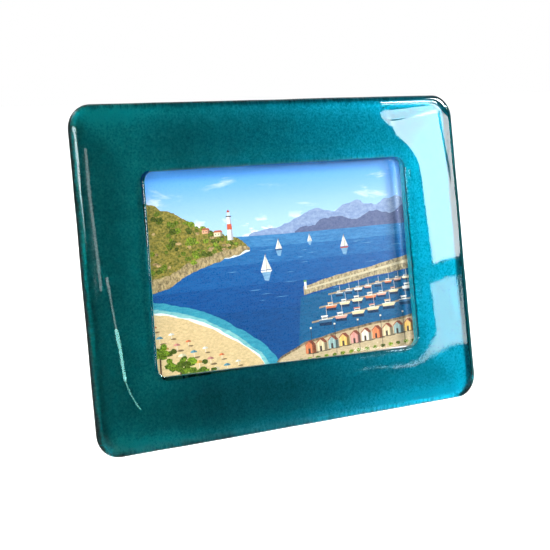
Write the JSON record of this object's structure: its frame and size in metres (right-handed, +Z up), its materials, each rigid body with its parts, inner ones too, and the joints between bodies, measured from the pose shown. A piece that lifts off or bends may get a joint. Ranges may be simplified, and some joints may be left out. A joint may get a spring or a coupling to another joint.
{
  "type": "glass picture frame",
  "caption": "Landscape table-top photo frame with a thick teal glass surround over metal leaf, a clear pane and print, turn buttons and a hinged easel leg.",
  "frame": {"origin": "on the table, below the middle of the frame's width and depth with the leg open", "axes": "+Z up, the picture faces -Y, +X to the right of someone who looks at it"},
  "size_m": [0.213, 0.0574, 0.1556],
  "materials": {
    "teal_glass": "polished, fine hammered grain",
    "metal_leaf": "crinkled leaf",
    "black_felt": "matte felt",
    "adhesive": "satin",
    "black_wood": "satin black stain",
    "clear_glass": "polished",
    "printed_paper": "gloss photo paper",
    "card": "matte",
    "hardboard": "pressed",
    "black_velvet": "velvet",
    "nickel_steel": "nickel plated",
    "rivet_steel": "nickel plated",
    "screw_steel": "nickel plated",
    "ribbon": "woven satin",
    "staple_wire": "drawn wire",
    "black_board": "black paper faced board"
  },
  "bodies": {
    "frame": {"glass_surround": "teal_glass", "silver_leaf": "metal_leaf", "backing_felt": "black_felt", "adhesive_strips": "adhesive", "rebate_top": "black_wood", "rebate_bottom": "black_wood", "rebate_left": "black_wood", "rebate_right": "black_wood", "clear_pane": "clear_glass", "photo_print": "printed_paper", "filler_card": "card", "back_board": "hardboard", "back_velvet": "black_velvet", "hinge_leaf_board": "nickel_steel", "hinge_pin": "nickel_steel", "hinge_rivets_board": "rivet_steel", "button_screws": "screw_steel", "stay_ribbon": "ribbon", "stay_staple_board": "staple_wire"},
    "easel": {"easel_leg": "black_board", "leg_velvet": "black_velvet", "hinge_leaf_leg": "nickel_steel", "hinge_rivets_leg": "rivet_steel", "stay_staple_leg": "staple_wire"},
    "button_top_left": {"turn_button_top_left": "nickel_steel"},
    "button_top_right": {"turn_button_top_right": "nickel_steel"},
    "button_bottom_left": {"turn_button_bottom_left": "nickel_steel"},
    "button_bottom_right": {"turn_button_bottom_right": "nickel_steel"},
    "button_left": {"turn_button_left": "nickel_steel"},
    "button_right": {"turn_button_right": "nickel_steel"}
  },
  "joints": [
    {"name": "easel_hinge", "type": "hinge", "parent": "frame", "child": "easel", "pos_m": [0, 0.00519, 0.1093], "axis": [1, 0, 0], "range_deg": [-20, 0], "deforming": ["stay_ribbon"]},
    {"name": "button_top_left_turn", "type": "hinge", "parent": "frame", "child": "button_top_left", "pos_m": [-0.04, 0.00825, 0.13314], "axis": [0, -0.9836, 0.1805], "range_deg": [-90, 90]},
    {"name": "button_top_right_turn", "type": "hinge", "parent": "frame", "child": "button_top_right", "pos_m": [0.04, 0.00825, 0.13314], "axis": [0, -0.9836, 0.1805], "range_deg": [-90, 90]},
    {"name": "button_bottom_left_turn", "type": "hinge", "parent": "frame", "child": "button_bottom_left", "pos_m": [-0.048, -0.01269, 0.01905], "axis": [0, -0.9836, 0.1805], "range_deg": [-90, 90]},
    {"name": "button_bottom_right_turn", "type": "hinge", "parent": "frame", "child": "button_bottom_right", "pos_m": [0.048, -0.01269, 0.01905], "axis": [0, -0.9836, 0.1805], "range_deg": [-90, 90]},
    {"name": "button_left_turn", "type": "hinge", "parent": "frame", "child": "button_left", "pos_m": [-0.083, -0.00222, 0.07609], "axis": [0, -0.9836, 0.1805], "range_deg": [-90, 90]},
    {"name": "button_right_turn", "type": "hinge", "parent": "frame", "child": "button_right", "pos_m": [0.083, -0.00222, 0.07609], "axis": [0, -0.9836, 0.1805], "range_deg": [-90, 90]}
  ]
}
